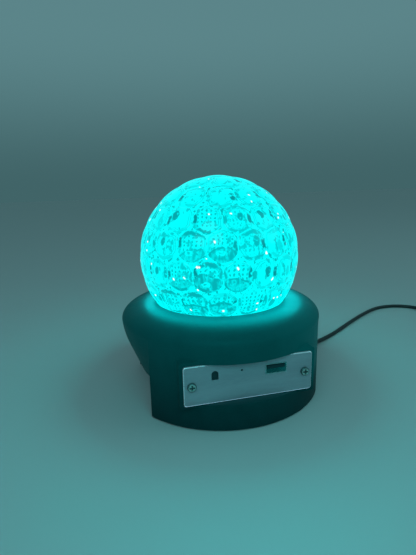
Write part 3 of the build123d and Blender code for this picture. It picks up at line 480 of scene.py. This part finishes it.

# Painted highlight: the panel's chamfer, which turns partly to the front, is brighter than its face
plate = nodes["control_plate"].data
plate.materials.append(panel_edge_highlight)
for face in plate.polygons:
    if -0.9 < face.normal.y < -0.3:
        face.material_index = 1


def new_object(name, data):
    thing = bpy.data.objects.new(name, data)
    bpy.context.scene.collection.objects.link(thing)
    return thing


def ball_piece(name, mesh, material):
    """A piece that stands for the ball's solid."""
    mesh.materials.append(material)
    piece = new_object(name, mesh)
    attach(piece, "lamp")
    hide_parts("ball_shell")
    return piece


# Ball: the clear shell with its seat flange
FLANGE_BORE = 47.8 * MM
FLANGE_LOW = 58.8 * MM
FLANGE_HIGH = 60.8 * MM
SHELL_STEPS = 144
OUTSIDE_STEPS = 72
INSIDE_STEPS = 40
# Nearer than this to the axis, in metres, a point lies on it
ON_AXIS = 1e-9


def turned(name, profile, steps, material):
    """A closed profile turned about the ball's axis."""
    shape = bmesh.new()
    rings = []
    for radius, height in profile:
        if radius < ON_AXIS:
            rings.append([shape.verts.new((0, 0, height))])
            continue
        ring = []
        for step in range(steps):
            angle = 2 * math.pi * step / steps
            ring.append(shape.verts.new((radius * math.cos(angle), radius * math.sin(angle), height)))
        rings.append(ring)
    for first, second in zip(rings, rings[1:] + rings[:1]):
        for step in range(steps):
            corners = [
                first[step % len(first)],
                first[(step + 1) % len(first)],
                second[(step + 1) % len(second)],
                second[step % len(second)],
            ]
            corners = list(dict.fromkeys(corners))
            if len(corners) > 2:
                shape.faces.new(corners)
    bmesh.ops.recalc_face_normals(shape, faces=shape.faces)
    mesh = bpy.data.meshes.new(name)
    shape.to_mesh(mesh)
    shape.free()
    for face in mesh.polygons:
        face.use_smooth = True
    return ball_piece(name, mesh, material)


def sphere_arc(radius, low, steps):
    """Points of a sphere's outline from the height low up to its top."""
    start = math.asin((low - BALL_CENTRE.z) / radius)
    angles = [start + (math.pi / 2 - start) * step / steps for step in range(steps + 1)]
    return [(radius * math.cos(angle), BALL_CENTRE.z + radius * math.sin(angle)) for angle in angles]


foot = [(FLANGE_BORE, FLANGE_LOW), (FLANGE_BORE, FLANGE_HIGH)]
outside = sphere_arc(WEB_RADIUS, FLANGE_HIGH, OUTSIDE_STEPS)
inside = sphere_arc(BORE_RADIUS, FLANGE_LOW, INSIDE_STEPS)
web = turned("ball_web", foot + outside + inside[::-1], SHELL_STEPS, web_glow)

# Rows of lenses: latitude, how many, the angle from the front to one of them, and tone. In degrees
ROWS = [
    (-23.7, 18, -13.4, 1.25),
    (-3.6, 19, -22.5, 0.9),
    (15.8, 18, -13.2, 0.55),
    (33.0, 16, -1.2, 0.25),
    (51.0, 12, -13.0, -0.1),
    (69.5, 6, 2.0, -0.2),
    (90.0, 1, 0.0, -0.3),
]
LENS_REACH = 9.8 * MM
LENS_GAP = 0.2 * MM
LENS_SINK = 0.03 * MM
SKIRT = 1.2 * MM
RINGS = 6
SPOKES = 36
# A neighbour stands within this many reaches, and counts on its own side of the lens only
NEIGHBOUR_REACHES = 2.6
OWN_SIDE = 0.05
SAME_PLACE = 1e-6
# The lenses above this share of the ball's radius are clear
CLEAR_SHARE = 0.7
# This many radians to the left of the front a lens shows most of the inside, and less away from there
FACING_TURN = 0.35
FACING_POWER = 8
# The side marks change sides this many radians to the left of the front
MIRROR_TURN = 0.3


def lens_stands():
    """Each lens's direction from the ball's centre, its angle from the front and its row's tone."""
    stands = []
    for latitude, count, azimuth, tone in ROWS:
        lat = math.radians(latitude)
        for step in range(count):
            angle = math.radians(azimuth + 360 * step / count)
            out = (math.sin(angle) * math.cos(lat), -math.cos(angle) * math.cos(lat), math.sin(lat))
            stands.append((Vector(out), angle, tone))
    return stands


def lens_reach(stands, out, side):
    """How far a lens goes along side before it meets a neighbour or its own largest radius."""
    reach = LENS_REACH
    for other, _, _ in stands:
        between = (other - out) * WEB_RADIUS
        apart = between.length
        if apart < SAME_PLACE or apart > NEIGHBOUR_REACHES * LENS_REACH:
            continue
        along = between.dot(side) / apart
        if along > OWN_SIDE:
            reach = min(reach, (apart / 2 - LENS_GAP) / along)
    return reach


def add_lens(shape, stands, out, angle, tone, seed):
    """One lens: a cap that bulges up to the ball's radius, and a skirt that goes down into the shell."""
    lens_uv = shape.loops.layers.uv["lens"]
    kind_uv = shape.loops.layers.uv["kind"]
    east = Vector((math.cos(angle), math.sin(angle), 0))
    north = out.cross(east)
    mirror = 1 if math.sin(angle + MIRROR_TURN) > 0 else -1
    top = shape.verts.new(BALL_CENTRE + out * BALL_RADIUS)
    places = {top: (0.0, 0.0)}
    rings = [[top]]
    spokes = []
    for spoke in range(SPOKES):
        turn = 2 * math.pi * spoke / SPOKES
        side = east * math.cos(turn) + north * math.sin(turn)
        spokes.append((turn, side, lens_reach(stands, out, side)))
    for step in range(1, RINGS + 1):
        share = step / RINGS
        radius = BALL_RADIUS - (BALL_RADIUS - WEB_RADIUS + LENS_SINK) * share**2
        ring = []
        for turn, side, reach in spokes:
            slope = reach * share / WEB_RADIUS
            vert = shape.verts.new(BALL_CENTRE + (out * math.cos(slope) + side * math.sin(slope)) * radius)
            places[vert] = (mirror * share * math.cos(turn), share * math.sin(turn))
            ring.append(vert)
        rings.append(ring)
    skirt = []
    for vert in rings[-1]:
        low = shape.verts.new(vert.co - out * SKIRT)
        places[low] = places[vert]
        skirt.append(low)
    rings.append(skirt)
    faces = [shape.faces.new(list(reversed(skirt)))]
    for first, second in zip(rings, rings[1:]):
        for spoke in range(SPOKES):
            corners = [
                first[spoke % len(first)],
                second[spoke],
                second[(spoke + 1) % SPOKES],
                first[(spoke + 1) % len(first)],
            ]
            faces.append(shape.faces.new(list(dict.fromkeys(corners))))
    for face in faces:
        face.smooth = len(face.verts) < SPOKES
        for loop in face.loops:
            loop[lens_uv].uv = places[loop.vert]
            loop[kind_uv].uv = (tone, seed)


# Ball: the lenses that stand on the shell
random.seed(11)
caps = bmesh.new()
for layer in ("lens", "kind"):
    caps.loops.layers.uv.new(layer)
stands = lens_stands()
for out, angle, row_tone in stands:
    seed = random.random()
    facing = abs(math.cos(angle + FACING_TURN)) ** FACING_POWER
    tone = (0.3 + 0.8 * row_tone) * facing + random.uniform(-0.12, 0.08)
    tone = min(MOST_TONE, max(0.0, tone))
    if out.z > CLEAR_SHARE:
        tone = CLEAR_TONE
    add_lens(caps, stands, out, angle, tone, seed)
lens_mesh = bpy.data.meshes.new("ball_lenses")
caps.to_mesh(lens_mesh)
caps.free()
lenses = ball_piece("ball_lenses", lens_mesh, lens_glow)

# The light in the ball passes through the pieces around it
around_light = [web, lenses]
around_light += [nodes[n] for n in ("rotor_dish", "rotor_hub", "led_emitters", "motor_shaft")]
for piece in around_light:
    piece.visible_shadow = False
    piece.visible_diffuse = False

# Lead, in millimetres: one cord from the relief, along the table, through the coil and on to the plug
CORD = 3.4
GLAND_ANGLE = math.radians(15)
GLAND_HEIGHT = 6.5
CORD_START = 66.0
LEAD_OUT = 12.0
TABLE_LEVEL = CORD / 2 + 0.05
PLUG_LEVEL = 4.25
COIL_X = 272.0
COIL_Y = 70.0
COIL_MID_RADIUS = 19.0
COIL_LAYER_HALVES = 6
COIL_PITCH = CORD + 0.5
COIL_LOW = CORD / 2 + 0.65
COIL_HIGH = COIL_LOW + COIL_PITCH
COIL_APPROACH = 12.5
HALF_TURN_POINTS = 10
TAIL_STRAIGHT = 10.0
TAIL_DROP = 12.0
TAIL_APPROACH = 11.0


def from_gland(length):
    """A place on the gland's axis, length away from the lamp's own axis."""
    return length * math.cos(GLAND_ANGLE), length * math.sin(GLAND_ANGLE), GLAND_HEIGHT


def half_turn(start, side, radius, level):
    """Points of half a turn of the coil, which rises to level and swells to lie on the true circle."""
    swell = 1 / math.cos(math.pi / HALF_TURN_POINTS / 2) ** 0.5
    middle = start[0] + side * radius
    points = []
    for step in range(HALF_TURN_POINTS):
        turn = math.pi * (step + 0.5) / HALF_TURN_POINTS
        x = middle - side * radius * math.cos(turn) * swell
        y = COIL_Y - side * radius * math.sin(turn) * swell
        points.append((x, y, start[2] + (level - start[2]) * (1 - math.cos(turn)) / 2))
    return points


outer_radius = COIL_MID_RADIUS + (COIL_LAYER_HALVES - 1) * COIL_PITCH / 4
half_radii = [outer_radius - step * COIL_PITCH / 2 for step in range(COIL_LAYER_HALVES + 1)]
half_radii = half_radii + half_radii[-2:0:-1]
coil_left = COIL_X - outer_radius
route = [
    from_gland(CORD_START),
    from_gland(CORD_START + LEAD_OUT),
    (87.0, 26.5, 4.4),
    (99.5, 35.5, 2.5),
    (122.5, 49.0, TABLE_LEVEL),
    (155.0, 72.5, TABLE_LEVEL),
    (181.5, 90.0, TABLE_LEVEL),
    (206.0, 103.5, TABLE_LEVEL),
    (226.0, 105.0, TABLE_LEVEL),
    (242.0, 98.0, TABLE_LEVEL),
    (coil_left, COIL_Y + CORD + COIL_APPROACH, COIL_LOW),
    (coil_left, COIL_Y + CORD, COIL_LOW),
]
here = (coil_left, COIL_Y, COIL_LOW)
for step, radius in enumerate(half_radii):
    side = 1 if step % 2 == 0 else -1
    level = COIL_LOW if step < COIL_LAYER_HALVES else COIL_HIGH
    route += half_turn(here, side, radius, level)
    here = (here[0] + side * 2 * radius, COIL_Y, level)
tail_y = COIL_Y - CORD
plug_x = here[0] - CORD / 2
plug_y = tail_y - TAIL_STRAIGHT - TAIL_DROP
route += [
    (here[0], tail_y, COIL_HIGH),
    (here[0], tail_y - TAIL_STRAIGHT, COIL_HIGH),
    (plug_x, plug_y, PLUG_LEVEL),
    (plug_x, plug_y - TAIL_APPROACH, PLUG_LEVEL),
]

curve = bpy.data.curves.new("cord", "CURVE")
curve.dimensions = "3D"
curve.resolution_u = 6
curve.bevel_depth = CORD / 2 * MM
curve.bevel_resolution = 4
curve.use_fill_caps = True
line = curve.splines.new("NURBS")
line.points.add(len(route) - 1)
for point, (x, y, z) in zip(line.points, route):
    point.co = (x * MM, y * MM, z * MM, 1)
line.order_u = 3
line.use_endpoint_u = True
curve.materials.append(cord_black)
cord = new_object("cord", curve)
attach(cord, "lamp")
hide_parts("power_cord", "cord_coil", "cord_tail")
# The lead's first point, in metres
[c * MM for c in route[0]]

# Soft edges where a moulding's or a sheet's edge catches the light, in millimetres
soft_edges = {"base_housing": 0.35, "control_plate": 0.25, "switch_body": 0.3, "switch_rocker": 0.4}
for name, width in soft_edges.items():
    bevel = nodes[name].modifiers.new("edge", "BEVEL")
    bevel.width = width * MM
    bevel.segments = 2
    bevel.limit_method = "ANGLE"
    bevel.angle_limit = math.radians(40)
    bevel.harden_normals = False

# Floor
FLOOR_HALF = 3
corners = [(-1, -1), (1, -1), (1, 1), (-1, 1)]
floor_mesh = bpy.data.meshes.new("floor")
floor_mesh.from_pydata([(x * FLOOR_HALF, y * FLOOR_HALF, 0) for x, y in corners], [], [(0, 1, 2, 3)])
floor = new_object("floor", floor_mesh)
pale, _, shader = new_material("floor")
shader.inputs["Base Color"].default_value = (0.48, 0.49, 0.49, 1)
shader.inputs["Roughness"].default_value = 0.7
floor_mesh.materials.append(pale)

# Studio light: paler from the skyline upwards
world = bpy.data.worlds.new("studio")
bpy.context.scene.world = world
world.use_nodes = True
tree = world.node_tree
sky = tree.nodes["Background"]
skyward = split_axes(tree, tree.nodes.new("ShaderNodeTexCoord").outputs["Generated"])[2]
air = mix_colours(tree, skyward.step(-0.02, 0.3), (0.12, 0.29, 0.31), (0.24, 0.53, 0.57))
tree.links.new(air, sky.inputs["Color"])
sky.inputs["Strength"].default_value = 0.44


def area_light(name, place, target, size, energy, colour):
    data = bpy.data.lights.new(name, "AREA")
    data.shape = "DISK"
    data.size = size
    data.energy = energy
    data.color = colour
    light = new_object(name, data)
    light.location = place
    light.rotation_euler = (Vector(target) - Vector(place)).to_track_quat("-Z", "Y").to_euler()


area_light("key", (-0.5, -0.9, 0.9), (0, 0, 0.05), size=0.8, energy=2.6, colour=(0.5, 0.93, 1.0))
area_light("fill", (0.9, -0.4, 0.7), (0, 0, 0.05), size=0.8, energy=1.2, colour=(0.4, 0.95, 1.0))
# The ball's light on the crown, from a disc just above it, and on the front of the base
area_light("spill", (0.0025, 0.001, 0.0668), (0.0025, 0.001, 0), size=0.113, energy=0.2,
           colour=(0.0, 0.98, 1.0))
area_light("front_glow", (-0.03, -0.2, 0.14), (0, -0.07, 0.05), size=0.1, energy=0.07, colour=CYAN)
glow = bpy.data.lights.new("glow", "POINT")
glow.energy = 0.6
glow.color = CYAN
glow.shadow_soft_size = 0.045
new_object("glow", glow).location = BALL_CENTRE

# Camera, solved from the photograph: angles in radians, focal length and photograph's height in pixels,
# the sensor's width in millimetres
YAW = 0.243953
PITCH = 0.237276
ROLL = -0.025
FOCAL = 417.0
PHOTO_HEIGHT = 555
SENSOR = 36
CAMERA_PLACE = Vector((-76.83, -275.73, 146.34)) * MM
forward = Vector((math.sin(YAW) * math.cos(PITCH), math.cos(YAW) * math.cos(PITCH), -math.sin(PITCH)))
level_right = Vector((math.cos(YAW), -math.sin(YAW), 0))
level_up = level_right.cross(forward)
right = math.cos(ROLL) * level_right + math.sin(ROLL) * level_up
up = -math.sin(ROLL) * level_right + math.cos(ROLL) * level_up
camera_data = bpy.data.cameras.new("camera")
camera_data.sensor_width = SENSOR
camera_data.lens = SENSOR * FOCAL / PHOTO_HEIGHT
camera_data.clip_start = 10 * MM
camera = new_object("camera", camera_data)
turned_axes = Matrix((right, up, -forward)).transposed().to_4x4()
camera.matrix_world = Matrix.Translation(CAMERA_PLACE) @ turned_axes
bpy.context.scene.camera = camera
bpy.context.scene.view_settings.view_transform = "Standard"

bpy.context.view_layer.update()
